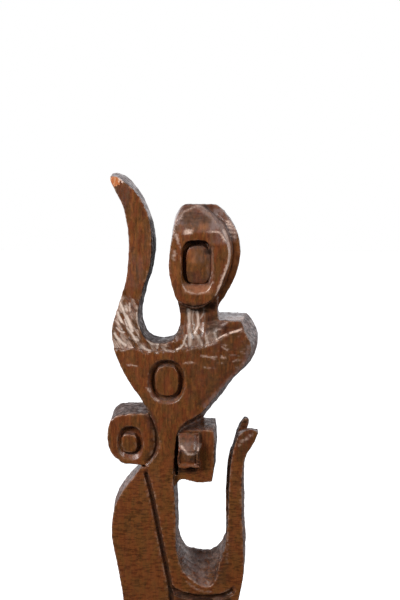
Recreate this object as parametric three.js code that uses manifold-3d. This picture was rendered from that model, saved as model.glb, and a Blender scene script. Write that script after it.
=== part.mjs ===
import * as THREE from 'three';
import { mergeVertices } from 'three/addons/utils/BufferGeometryUtils.js';
import Module from 'manifold-3d';

// A tall abstract figure carved from one thick board: a raised horn-like arm, a masked head, a ringed
// torso, a round block and a square block at the waist, a leaf-shaped leg, a forked prong, and two plain
// legs that stand on a low base. Everything is one timber.
//
// Millimetres, +Z up. The front faces -Y and the origin is under the middle of the base.
// Outlines are drawn in x, z on the front face. A point may carry two more numbers: how far that edge
// has moved in x and z by the time it reaches the back of the piece.

// Depths of the faces, from the front of the board to its back.
const FRONT = -48;
const BACK = 48;
const DISC_FACE = -40;
const BLOCK_FACE = -36;
const LEAF_FACE = -44;
const LEG_FACE = -42;
const NECK_FACE = -30;
const HEAD_STEP = -18;
const KNOB_FACE = -62;
const PRONG_SPLIT_FRONT = -3;
const PRONG_SPLIT_BACK = 6;

// The low base.
const BASE_WIDTH = 280;
const BASE_DEPTH = 184;
const BASE_HEIGHT = 52;
const BASE_CORNER = 22;
const BASE_BEVEL = 6;

// The middle of the whole width lies this far from the middle line of the trunk drawing.
const MIDDLE_X = 2;

// How finely curves are cut into facets.
const STEPS_PER_POINT = 3;
const OVAL_SIDES = 32;
const GROOVE_SIDES = 8;
const GROOVE_STEPS_PER_POINT = 3;
const CORNER_STEPS = 5;

const WOOD = { color: 0x6a3a1e, roughness: 0.42, metalness: 0 };

// The board from the tip of the arm down to the waist and the trunk, and up the right shoulder.
const ARM_OUTER_EDGE = [
  [-139, 1267, -4, 4], [-130, 1249], [-118, 1225], [-111, 1200], [-106, 1165], [-106, 1128],
  [-110, 1080], [-118, 1050], [-130, 1013], [-139, 985], [-142, 961], [-139, 938], [-131, 911],
  [-109, 866], [-81, 825], [-70, 800],
];
const TRUNK_LEFT_EDGE = [
  [-60, 785], [-52, 766], [-47, 745], [-47, 728], [-52, 712], [-62, 697], [-74, 686],
];
const TRUNK_GROOVE_LINE = [
  [-75, 676], [-64, 632], [-52, 570], [-43, 521], [-33, 471], [-26, 433], [-23, 390],
];
const TRUNK_RIGHT_EDGE = [
  [-12, 514], [-12, 557], [-14, 615], [-17, 652], [-15, 698], [-12, 731], [-10, 752, 8, -8],
];
const TORSO_RIGHT_EDGE = [
  [-3, 768, 20, -18], [9, 780, 22, -22], [28, 791, 18, -18], [45, 804, 14, -13], [68, 832, 14, -14],
  [95, 865, 12, -11], [120, 890, 14, -10], [134, 909, 16, -7], [141, 931, 17, -2], [140, 946, 19, 2],
  [134, 960, 20, 6], [127, 972, 18, 10], [122, 988, 13, 7],
];
const SHOULDER_TOP_EDGE = [[96, 988, 0, 9], [78, 988, 0, 9]];
const NECK_FOOT_EDGE = [[-6, 975]];
const ARMPIT_EDGE = [
  [-12, 956], [-24, 946], [-44, 942], [-62, 946], [-78, 958], [-87, 985], [-87, 1010],
  [-82, 1034], [-75, 1060], [-66, 1085], [-60, 1115], [-58, 1150], [-60, 1180, -2, 0],
  [-66, 1206, -3, 0], [-76, 1228, -3, 2], [-88, 1246, -2, 4], [-102, 1260, -2, 8], [-115, 1270, -3, 13],
];
const ARM_TIP_EDGE = [[-128, 1279, -6, 11], [-141, 1279, -9, 11]];

// The head: a block at the back, and a mask in front of it whose edge is bevelled.
const HEAD_TOP_EDGE = [[68, 1225]];
const HEAD_RIGHT_EDGE = [
  [79, 1218], [90, 1206], [102, 1190], [113, 1167], [119, 1140], [119, 1116], [109, 1076],
  [92, 1044], [76, 1018], [71, 1000],
];
const HEAD_FOOT_EDGE = [[-4, 1000]];
const HEAD_LEFT_EDGE = [
  [-13, 1044], [-22, 1070], [-25, 1105], [-22, 1145], [-15, 1187], [-8, 1208], [6, 1225],
];
const MASK_EDGE = [
  [24, 1221, 0, 4], [40, 1216, 4, 6], [56, 1203, 8, 6], [70, 1186, 10, 6], [80, 1172, 11, 6],
  [90, 1152, 9, 4], [96, 1130, 6, 2], [96, 1112, 4, 0], [92, 1092, 3, 0], [84, 1068, 3, -1],
  [73, 1047, 3, -2], [61, 1031, 2, -2], [46, 1019, 1, -2], [26, 1013, 0, -1], [8, 1018, 0, -1],
  [-8, 1031], [-18, 1058], [-24, 1086], [-25, 1106], [-23, 1130], [-19, 1152, -2, 1],
  [-13, 1176, -5, 5], [-4, 1200, -7, 6], [6, 1214, -5, 8],
];
const NECK_LEFT_EDGE = [[-3, 1000], [-4, 980], [-10, 955]];
const NECK_BASE_EDGE = [[88, 930]];
const NECK_RIGHT_EDGE = [[82, 975], [74, 1000], [74, 1040]];
const FOREHEAD = { brow: 1167, top: 1226, depthAtTop: 26, depthHalfWay: 9 };

// Chiselled hollow of the collar: what lies above this line is cut back, least at the top of the arm.
const COLLAR_LINE = [
  [-130, 932], [-92, 932], [-69, 927], [-41, 928], [-22, 926], [-1, 932], [25, 935], [43, 939],
  [74, 951], [95, 964], [120, 972], [165, 986],
];
const ARM_ROOT_FLOOR = { left: -165, right: -5, topZ: 1040, topY: -48.5, footZ: 925, footY: -42 };
const SHOULDER_FLOOR = { left: -6, right: 165, topZ: 1000, topY: -42.5, footZ: 925, footY: -42 };
const NECK_HOLLOW_LINE = [
  [-1, 931, 4, 52], [25, 934, 0, 52], [43, 939, -2, 48], [74, 952, -12, 38], [98, 970, -28, 24],
  [112, 995, -38, 8],
];
const NECK_HOLLOW_TOP = [[112, 1060, -38, 0]];
const NECK_HOLLOW_CORNER = [[-30, 1060]];
const NECK_HOLLOW_FOOT = [[-30, 928, 18, 48]];

// Round block at the left of the waist.
const DISC_EDGE = [
  [-118, 688], [-131, 695, 0, 1], [-143, 705, -2, 1], [-151, 719, -1, 0], [-154, 736],
  [-153, 760, -1, 2], [-147, 780, -4, 4], [-136, 789, -3, 6], [-120, 793, -2, 5], [-91, 795, 0, 4],
];

// Square block at the right of the waist, and the knob that stands on it.
const BLOCK_TOP_EDGE = [[66, 760, 3, 6]];
const BLOCK_SIDE_EDGE = [[68, 730, 4, 0], [67, 690, 3, 0], [66, 672, 3, 0]];
const BLOCK_CORNER_EDGE = [[63, 651, 2, 0]];
const BLOCK_FOOT_EDGE = [[34, 648], [4, 655], [-8, 650], [-15, 640]];
const KNOB_OUTLINE = [
  [-8, 757], [37, 757], [37, 727], [36, 704], [40, 684], [18, 686], [6, 681], [-6, 685], [-8, 704],
  [-5, 727],
];
const KNOB_PROFILE = [
  [BLOCK_FACE + 10, 762], [BLOCK_FACE - 6, 757], [-52, 741], [KNOB_FACE, 724], [-56, 702], [-50, 681],
  [BLOCK_FACE + 10, 678],
];
const BLOCK_GAP = { left: -13.5, right: -8.5, foot: 664, top: 756, back: -14 };

// Leaf-shaped leg at the left, and the plain leg that it runs down into.
const LEAF_EDGE = [
  [-101, 660], [-121, 635, -1, 1], [-134, 611, -4, 2], [-143, 584, -7, 2], [-147, 547, -7, 0],
  [-145, 515, -4, 0], [-137, 475], [-125, 400], [-116, 330], [-109, 250], [-106, 170], [-108, 95],
  [-114, 48],
];
const LEAF_FOOT_EDGE = [[-10, 48]];
const LEAF_INNER_EDGE = [[-4, 200], [-12, 380]];
const LEAF_TOP_EDGE = [[-84, 684]];
const LEAF_OVERLAP = 9;

// The hook under the saddle, and the prong that rises from it in two layers.
const HIP_FOOT_EDGE = [[-24, 396]];
const HIP_LEG_CORNER = [[119, 396, 6, 0]];
const HIP_RIGHT_EDGE = [
  [124, 420, 6, 0], [128, 443, 5, 0], [130, 473, 5, 0], [129, 502, 5, 0], [127, 560, 5, 0],
];
const HIP_TOP_EDGE = [[-40, 560]];
const PRONG_RIGHT_EDGE = [
  [127, 502, 6, 0], [126, 560, 6, 0], [125, 620, 6, 0], [125, 667, 5, 0], [128, 694, 4, 0],
  [134, 713, 3, 0], [143, 727, 2, 0], [151, 742, 2, 0], [157, 757, 1, 0],
];
const PRONG_TIP_EDGE = [[158, 759, 1, -9], [151, 765, 1, -9], [139, 767, 0, -9]];
const PRONG_LEFT_EDGE = [
  [129, 763, 0, -8], [119, 755, 0, -4], [113, 744], [106, 718], [102, 692], [99, 655], [97, 600],
  [96, 560], [94, 500],
];
const BACK_PRONG_RIGHT_EDGE = [[126, 500], [124, 600], [124, 660], [125, 700], [129, 730], [135, 752]];
const BACK_PRONG_TIP_EDGE = [[140, 771, 0, -6], [135, 776, 0, -6], [129, 775, 0, -6]];
const BACK_PRONG_LEFT_EDGE = [
  [122, 763, 0, -4], [115, 745], [105, 711], [97, 688], [93, 645], [91, 600], [92, 545], [92, 500],
];
const SADDLE_EDGE = [
  [-12, 545], [-12, 514, 0, 4], [-5, 485, -1, 13], [4, 459, -2, 23],
  [22, 441, -4, 32], [42, 429, -3, 42], [60, 429, -2, 42], [72, 446, 2, 36], [78, 477, 6, 17],
  [85, 496, 5, 9], [90, 512, 2, 4], [93, 540], [96, 576],
];
const SADDLE_TOP_EDGE = [[-13, 575]];
const RIGHT_LEG_TOP_EDGE = [[120, 402, 6, 0]];
const RIGHT_LEG_EDGE = [
  [115, 362, 6, 0], [109, 310, 5, 0], [102, 250, 4, 0], [96, 180, 4, 0], [94, 120, 4, 0],
  [97, 80, 4, 0], [104, 48, 4, 0],
];
const RIGHT_LEG_FOOT_EDGE = [[-20, 48]];
const RIGHT_LEG_INNER_EDGE = [[-22, 402]];

// Carved lines, as round gouge cuts.
const TRUNK_GROOVE = {
  radius: 5.5,
  y: -46,
  line: [
    [-76, 684], ...TRUNK_GROOVE_LINE.slice(0, -1), [-22, 396], [-18, 340], [-12, 270], [-9, 200],
    [-10, 130], [-13, 80], [-15, 52],
  ],
};
const DISC_GROOVE = {
  radius: 5,
  y: -42,
  line: [[-77, 812], [-65, 797], [-56, 778], [-51, 755], [-51, 730], [-56, 711], [-68, 694], [-86, 684]],
};
const HOOK_GROOVE = {
  radius: 7,
  y: -47,
  line: [
    [-30, 430], [-16, 417], [4, 408, 2], [30, 404, 4.5], [60, 403, 4.5], [88, 408, 2], [103, 416], [110, 427],
  ],
};
const MASK_GROOVE = {
  radius: 3,
  y: -19,
  line: [[52, 1222], [76, 1204], [93, 1184], [103, 1158], [105, 1130], [101, 1098], [90, 1066], [72, 1034]],
};

// Ringed hollows: an outer rim that slopes in, a channel, and a boss left standing in the middle.
const HEAD_HOLLOW = {
  y: FRONT, squareness: 3.5, rim: { x: 32, z: 1100, halfX: 31.6, halfZ: 53 },
  channel: { x: 32.5, z: 1107, halfX: 30, halfZ: 45 }, boss: { x: 34, z: 1103, halfX: 24, halfZ: 38 },
  bossSquareness: 3.5, rimDepth: 10, depth: 22, bossDrop: 9, bossSpread: 2,
};
const CHEST_HOLLOW = {
  y: FRONT, squareness: 2.4, rim: { x: -30.5, z: 864, halfX: 38, halfZ: 46 },
  channel: { x: -29, z: 865, halfX: 32, halfZ: 40 }, boss: { x: -29.5, z: 865, halfX: 24, halfZ: 31 },
  bossSquareness: 2.8, rimDepth: 8, depth: 15, bossDrop: 3, bossSpread: 3,
};
const DISC_HOLLOW = {
  y: DISC_FACE, squareness: 2.4, rim: { x: -106.5, z: 732, halfX: 27, halfZ: 37 },
  channel: { x: -106, z: 735, halfX: 22, halfZ: 29 }, boss: { x: -109, z: 731, halfX: 15.5, halfZ: 19 },
  bossSquareness: 3.2, rimDepth: 7, depth: 15, bossDrop: 2, bossSpread: 2,
};

const wasm = await Module();
wasm.setup();

/** A closed solid from a three.js geometry. */
function solidOf(geometry) {
  const bare = new THREE.BufferGeometry();
  bare.setAttribute('position', geometry.getAttribute('position').clone());
  if (geometry.index) {
    bare.setIndex(geometry.index.clone());
  }
  const merged = mergeVertices(bare, 1e-3);
  return new wasm.Manifold(new wasm.Mesh({
    numProp: 3,
    vertProperties: new Float32Array(merged.getAttribute('position').array),
    triVerts: new Uint32Array(merged.index.array),
  }));
}

/** A three.js geometry from a closed solid. */
function geometryOf(solid) {
  const mesh = solid.getMesh();
  const geometry = new THREE.BufferGeometry();
  geometry.setAttribute('position', new THREE.Float32BufferAttribute(mesh.vertProperties, 3));
  geometry.setIndex(new THREE.Uint32BufferAttribute(mesh.triVerts, 1));
  return geometry;
}

/**
 * Points of a closed outline made of smooth runs that meet in corners. Each run starts where the one
 * before it ends. The share is 0 for the outline at the front and 1 for the outline at the back.
 */
function trace(runs, share) {
  const points = [];
  let corner = runs.at(-1).at(-1);
  for (const run of runs) {
    const stops = [corner, ...run].map(
      ([x, z, backX = 0, backZ = 0]) => new THREE.Vector2(x + share * backX, z + share * backZ),
    );
    const steps = run.length === 1 ? 1 : run.length * STEPS_PER_POINT;
    points.push(...new THREE.SplineCurve(stops).getPoints(steps).slice(1));
    corner = run.at(-1);
  }
  return points;
}

/** A solid between one outline at the front and another, with as many points, at the back. */
function between(frontOutline, backOutline, front, back) {
  const nameOf = (x, z) => `${Math.fround(x)} ${Math.fround(z)}`;
  const shifts = new Map();
  frontOutline.forEach((point, i) => shifts.set(nameOf(point.x, point.y), backOutline[i].clone().sub(point)));
  const depth = back - front;
  const geometry = new THREE.ExtrudeGeometry(new THREE.Shape(frontOutline), { depth, bevelEnabled: false });
  const position = geometry.getAttribute('position');
  for (let i = 0; i < position.count; i += 1) {
    const shift = shifts.get(nameOf(position.getX(i), position.getY(i)));
    if (position.getZ(i) < depth / 2) {
      position.setXY(i, position.getX(i) + shift.x, position.getY(i) + shift.y);
    }
  }
  return solidOf(geometry.rotateX(Math.PI / 2).translate(0, back, 0));
}

/** A solid with an outline made of runs, from one depth to another. */
function board(runs, front, back) {
  return between(trace(runs, 0), trace(runs, 1), front, back);
}

/** Points of an oval: squareness 2 is an ellipse, and more makes a rounder rectangle. */
function oval({ x, z, halfX, halfZ }, squareness, spread = 0) {
  const points = [];
  for (let i = 0; i < OVAL_SIDES; i += 1) {
    const turn = (2 * Math.PI * i) / OVAL_SIDES;
    const across = Math.sign(Math.cos(turn)) * Math.abs(Math.cos(turn)) ** (2 / squareness);
    const up = Math.sign(Math.sin(turn)) * Math.abs(Math.sin(turn)) ** (2 / squareness);
    points.push(new THREE.Vector2(x + (halfX + spread) * across, z + (halfZ + spread) * up));
  }
  return points;
}

/** The wood to take away for a ringed hollow, which leaves its boss standing. */
function hollow({
  y, squareness, rim, channel, boss, bossSquareness, rimDepth, depth, bossDrop, bossSpread,
}) {
  const rimOutline = oval(rim, squareness);
  const channelOutline = oval(channel, squareness);
  const proud = between(rimOutline, rimOutline, y - 20, y);
  const slope = between(rimOutline, channelOutline, y, y + rimDepth);
  const pit = between(channelOutline, channelOutline, y + rimDepth, y + depth);
  const standing = between(
    oval(boss, bossSquareness),
    oval(boss, bossSquareness, bossSpread),
    y + bossDrop,
    y + depth + 1,
  );
  return proud.add(slope).add(pit).subtract(standing);
}

/**
 * A round gouge cut along a line of x, z points at one depth, which rises out of the wood at its ends.
 * A point's third number is how much shallower the cut is there.
 */
function gougeCut(line, radius, y) {
  const section = new THREE.Shape();
  for (let i = 0; i < GROOVE_SIDES; i += 1) {
    const turn = (2 * Math.PI * (i + 0.5)) / GROOVE_SIDES;
    const method = i === 0 ? 'moveTo' : 'lineTo';
    section[method](radius * Math.cos(turn), radius * Math.sin(turn));
  }
  const riseAt = (i) => (i === 0 || i === line.length - 1 ? radius : 0);
  const stops = line.map(([x, z, shallower = 0], i) => new THREE.Vector3(x, y - riseAt(i) - shallower, z));
  const path = new THREE.CatmullRomCurve3(stops);
  const steps = (line.length - 1) * GROOVE_STEPS_PER_POINT;
  return solidOf(new THREE.ExtrudeGeometry(section, { extrudePath: path, steps, bevelEnabled: false }));
}

/** A solid with a y, z profile that runs from one x to another. */
function bar(profile, left, right) {
  const shape = new THREE.Shape(profile.map(([y, z]) => new THREE.Vector2(y, z)));
  const geometry = new THREE.ExtrudeGeometry(shape, { depth: right - left, bevelEnabled: false });
  geometry.rotateX(Math.PI / 2).rotateZ(Math.PI / 2);
  return solidOf(geometry.translate(left, 0, 0));
}

/** A hollow in front of a slanting floor, from one depth at its top to another at its foot. */
function slantingHollow({ left, right, topZ, topY, footZ, footY }) {
  const ahead = FRONT - 30;
  return bar([[ahead, footZ], [footY, footZ], [topY, topZ], [ahead, topZ]], left, right);
}

/** Torso, arm, shoulder and trunk: the board that carries everything else. */
function torso() {
  const trunkFoot = [[-12, 390]];
  return board([
    ARM_OUTER_EDGE, TRUNK_LEFT_EDGE, TRUNK_GROOVE_LINE, trunkFoot, TRUNK_RIGHT_EDGE, TORSO_RIGHT_EDGE,
    SHOULDER_TOP_EDGE, NECK_FOOT_EDGE, ARMPIT_EDGE, ARM_TIP_EDGE,
  ], FRONT, BACK);
}

/** The chiselled hollow across the root of the arm, the foot of the neck and the shoulder. */
function collarHollow() {
  const zone = board([COLLAR_LINE, [[165, 1060]], [[-165, 1060]], [[-165, 945]]], FRONT - 30, 0);
  const floors = slantingHollow(ARM_ROOT_FLOOR).add(slantingHollow(SHOULDER_FLOOR));
  const neckEdges = [NECK_HOLLOW_LINE, NECK_HOLLOW_TOP, NECK_HOLLOW_CORNER, NECK_HOLLOW_FOOT];
  return zone.intersect(floors).add(board(neckEdges, FRONT - 2, NECK_FACE + 1));
}

/** Head and neck, with the forehead sloping back above the brow. */
function head() {
  const { brow, top, depthAtTop, depthHalfWay } = FOREHEAD;
  const ahead = FRONT - 20;
  const halfWay = (brow + top) / 2;
  const forehead = bar([
    [ahead, brow], [FRONT, brow], [FRONT + depthHalfWay, halfWay], [FRONT + depthAtTop, top],
    [FRONT + depthAtTop, top + 20], [ahead, top + 20],
  ], -60, 160);
  const block = board([HEAD_TOP_EDGE, HEAD_RIGHT_EDGE, HEAD_FOOT_EDGE, HEAD_LEFT_EDGE], HEAD_STEP, BACK);
  const mask = board([MASK_EDGE], FRONT, HEAD_STEP + 2).subtract(forehead);
  const neck = board([NECK_LEFT_EDGE, NECK_BASE_EDGE, NECK_RIGHT_EDGE, [[-4, 1040]]], NECK_FACE, BACK);
  return block.add(mask).add(neck);
}

/** Round block on the left of the waist. */
function disc() {
  return board([[[-50, 684]], DISC_EDGE, [[-50, 795, 0, 4]]], DISC_FACE, BACK);
}

/** Square block on the right of the waist, with its knob. */
function rightBlock() {
  const outline = [BLOCK_TOP_EDGE, BLOCK_SIDE_EDGE, BLOCK_CORNER_EDGE, BLOCK_FOOT_EDGE, [[-15, 760, 0, 6]]];
  const corners = KNOB_OUTLINE.map((corner) => [corner]);
  const knob = board(corners, KNOB_FACE - 10, BLOCK_FACE + 5).intersect(bar(KNOB_PROFILE, -60, 100));
  const { left, right, foot, top, back } = BLOCK_GAP;
  const gap = board([[[left, foot]], [[right, foot]], [[right, top]], [[left, top]]], FRONT - 30, back);
  return board(outline, BLOCK_FACE, BACK).subtract(gap).add(knob);
}

/** Leaf-shaped leg, running down to the base, tucked behind the edge of the trunk. */
function leafLeg() {
  const tuckedEdge = TRUNK_GROOVE_LINE.toReversed().map(([x, z]) => [x + LEAF_OVERLAP, z]);
  return board([LEAF_EDGE, LEAF_FOOT_EDGE, LEAF_INNER_EDGE, tuckedEdge, LEAF_TOP_EDGE], LEAF_FACE, BACK);
}

/** The hook under the saddle, with the scoop that slants down to the front. */
function hip() {
  const block = board([HIP_FOOT_EDGE, HIP_LEG_CORNER, HIP_RIGHT_EDGE, HIP_TOP_EDGE], FRONT, BACK);
  return block.subtract(board([SADDLE_EDGE, SADDLE_TOP_EDGE], FRONT, BACK));
}

/** The prong at the right, split into a front and a back layer. */
function prong() {
  const front = board([PRONG_RIGHT_EDGE, PRONG_TIP_EDGE, PRONG_LEFT_EDGE], FRONT, PRONG_SPLIT_FRONT);
  const edges = [BACK_PRONG_RIGHT_EDGE, BACK_PRONG_TIP_EDGE, BACK_PRONG_LEFT_EDGE];
  return front.add(board(edges, PRONG_SPLIT_BACK, BACK));
}

/** Plain right leg under the hook. */
function rightLeg() {
  const edges = [RIGHT_LEG_TOP_EDGE, RIGHT_LEG_EDGE, RIGHT_LEG_FOOT_EDGE, RIGHT_LEG_INNER_EDGE];
  return board(edges, LEG_FACE, BACK);
}

/** Low base with rounded corners and a bevelled rim. */
function base() {
  const halfX = BASE_WIDTH / 2 - BASE_BEVEL;
  const halfY = BASE_DEPTH / 2 - BASE_BEVEL;
  const inner = BASE_CORNER - BASE_BEVEL;
  const shape = new THREE.Shape();
  shape.absarc(halfX - inner, halfY - inner, inner, 0, Math.PI / 2);
  shape.absarc(inner - halfX, halfY - inner, inner, Math.PI / 2, Math.PI);
  shape.absarc(inner - halfX, inner - halfY, inner, Math.PI, 1.5 * Math.PI);
  shape.absarc(halfX - inner, inner - halfY, inner, 1.5 * Math.PI, 2 * Math.PI);
  const geometry = new THREE.ExtrudeGeometry(shape, {
    depth: BASE_HEIGHT - 2 * BASE_BEVEL,
    bevelThickness: BASE_BEVEL,
    bevelSize: BASE_BEVEL,
    bevelSegments: 1,
    curveSegments: CORNER_STEPS,
  });
  return solidOf(geometry.translate(MIDDLE_X, 0, BASE_BEVEL));
}

/** The carved lines as one solid to take away. */
function carvedLines() {
  return [TRUNK_GROOVE, DISC_GROOVE, HOOK_GROOVE, MASK_GROOVE]
    .map(({ line, radius, y }) => gougeCut(line, radius, y))
    .reduce((whole, cut) => whole.add(cut));
}

/** The whole figure as one solid. */
function figure() {
  return torso()
    .subtract(collarHollow())
    .add(head())
    .add(disc())
    .add(rightBlock())
    .add(leafLeg())
    .add(rightLeg())
    .add(hip())
    .add(prong())
    .add(base())
    .subtract(carvedLines())
    .subtract(hollow(HEAD_HOLLOW))
    .subtract(hollow(CHEST_HOLLOW))
    .subtract(hollow(DISC_HOLLOW));
}

const sculpture = new THREE.Group();
const carved = new THREE.Mesh(geometryOf(figure()), new THREE.MeshStandardMaterial(WOOD));
carved.name = 'figure';
carved.position.x = -MIDDLE_X;
sculpture.add(carved);

export default sculpture;
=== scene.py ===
"""Looks of a tall abstract figure, gouge-cut from one thick board, stained dark brown and varnished."""

import itertools
import logging
import math
from dataclasses import dataclass, field
from enum import Enum, IntEnum

import bmesh
import bpy
import numpy as np
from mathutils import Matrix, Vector


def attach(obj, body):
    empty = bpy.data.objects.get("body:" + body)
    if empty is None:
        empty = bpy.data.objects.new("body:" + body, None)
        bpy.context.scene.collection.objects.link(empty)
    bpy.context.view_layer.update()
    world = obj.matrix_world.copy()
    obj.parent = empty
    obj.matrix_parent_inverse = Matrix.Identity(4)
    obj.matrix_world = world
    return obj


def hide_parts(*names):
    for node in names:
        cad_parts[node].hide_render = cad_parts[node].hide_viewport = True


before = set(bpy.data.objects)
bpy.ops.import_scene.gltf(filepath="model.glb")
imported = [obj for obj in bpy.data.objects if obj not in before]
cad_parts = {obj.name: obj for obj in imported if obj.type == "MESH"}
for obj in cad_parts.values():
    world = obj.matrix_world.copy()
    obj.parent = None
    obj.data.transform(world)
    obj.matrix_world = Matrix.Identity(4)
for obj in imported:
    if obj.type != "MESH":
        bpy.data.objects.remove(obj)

LOG = logging.getLogger("sculpture")
MM = 0.001
AXIS_PRIMES = (73856093, 19349663, 83492791)
SEED_PRIME = 2654435761
MIXING = ((13, 1274126177), (16, 69069))
LARGEST = 0x7FFFFFFF


class Facing(Enum):
    """The way a surface looks, which decides the tool that cut it."""

    FRONT = "front"
    SIDE = "side"
    BACK = "back"


class Chance(IntEnum):
    """What one of a cut's random numbers decides. Each has its own number after the field's seed."""

    ASIDE = 0
    INWARD = 1
    ALONG = 2
    RAISED = 3
    NUMBER = 4
    COLUMN = 5
    TIPPED_ASIDE = 6
    TIPPED_ALONG = 7


def blend_step(low: float, high: float, values: np.ndarray) -> np.ndarray:
    """Smooth step from 0 at low to 1 at high, which may also lie below low."""
    share = np.clip((values - low) / (high - low), 0.0, 1.0)
    return share * share * (3.0 - 2.0 * share)


def scatter(cells: np.ndarray, seed: int) -> np.ndarray:
    """A fixed random number from 0 to 1 for each whole-numbered cell.

    Args:
        cells: whole numbers, with the three axes last.
        seed: which set of random numbers to use.

    Returns:
        One number for each cell.
    """
    mixed = seed * SEED_PRIME & LARGEST
    for axis, prime in enumerate(AXIS_PRIMES):
        mixed = mixed ^ cells[..., axis].astype(np.int64) * prime
    mixed = mixed & LARGEST
    for shift, factor in MIXING:
        mixed = (mixed ^ (mixed >> shift)) * factor & LARGEST
    return (mixed ^ (mixed >> 11)) / float(LARGEST)


def soft_noise(points: np.ndarray, scale: tuple[float, float, float], seed: int) -> np.ndarray:
    """Smooth noise from -1 to 1.

    Args:
        points: places in millimetres, one row each.
        scale: size of the noise's cells along each axis, in millimetres.
        seed: which noise it is.

    Returns:
        One number for each point.
    """
    places = points / np.array(scale)
    cells = np.floor(places).astype(np.int64)
    share = places - cells
    share = share * share * (3.0 - 2.0 * share)
    total = np.zeros(len(points))
    for corner in range(8):
        step = np.array([corner & 1, corner >> 1 & 1, corner >> 2 & 1])
        weight = np.prod(np.where(step == 1, share, 1.0 - share), axis=1)
        total += weight * scatter(cells + step, seed)
    return 2.0 * total - 1.0


def zone(points: np.ndarray, x: tuple[float, float], z: tuple[float, float], soft: float) -> np.ndarray:
    """A soft-edged rectangle in x and z.

    Args:
        points: places in millimetres.
        x: its left and right edges.
        z: its lower and upper edges.
        soft: width of the fade at each edge.

    Returns:
        1 inside, 0 outside.
    """
    across = blend_step(x[0] - soft, x[0], points[:, 0]) * blend_step(x[1] + soft, x[1], points[:, 0])
    upright = blend_step(z[0] - soft, z[0], points[:, 2]) * blend_step(z[1] + soft, z[1], points[:, 2])
    return across * upright


def placed(name: str, data: bpy.types.ID) -> bpy.types.Object:
    """Put an object in the scene.

    Args:
        name: its name.
        data: its mesh, lamp or camera.

    Returns:
        The object.
    """
    made = bpy.data.objects.new(name, data)
    bpy.context.scene.collection.objects.link(made)
    return made


def applied(piece: bpy.types.Object) -> bpy.types.Mesh:
    """A new mesh of a piece, with its modifiers applied."""
    graph = bpy.context.evaluated_depsgraph_get()
    return bpy.data.meshes.new_from_object(piece.evaluated_get(graph))


@dataclass
class CutMarks:
    """What gouge cuts do at each point: how far it moves, its cut's number, ridges, place across the cut."""

    height: np.ndarray
    number: np.ndarray
    ridge: np.ndarray
    across: np.ndarray

    @classmethod
    def none(cls, count: int) -> "CutMarks":
        """Marks that do nothing, for a number of points."""
        return cls(np.zeros(count), np.full(count, 0.5), np.zeros(count), np.zeros(count))

    def lay(self, marks: "CutMarks", chosen: np.ndarray, weight: np.ndarray) -> None:
        """Lay other marks over some of the points.

        Args:
            marks: the marks to lay.
            chosen: which points they are for.
            weight: how strongly, for every point.
        """
        share = weight[chosen]
        self.height[chosen] += share * marks.height
        self.ridge[chosen] = np.maximum(self.ridge[chosen], share * marks.ridge)
        mainly = share > 0.5
        self.number[chosen] = np.where(mainly, marks.number, self.number[chosen])
        self.across[chosen] = np.where(mainly, marks.across, self.across[chosen])


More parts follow.
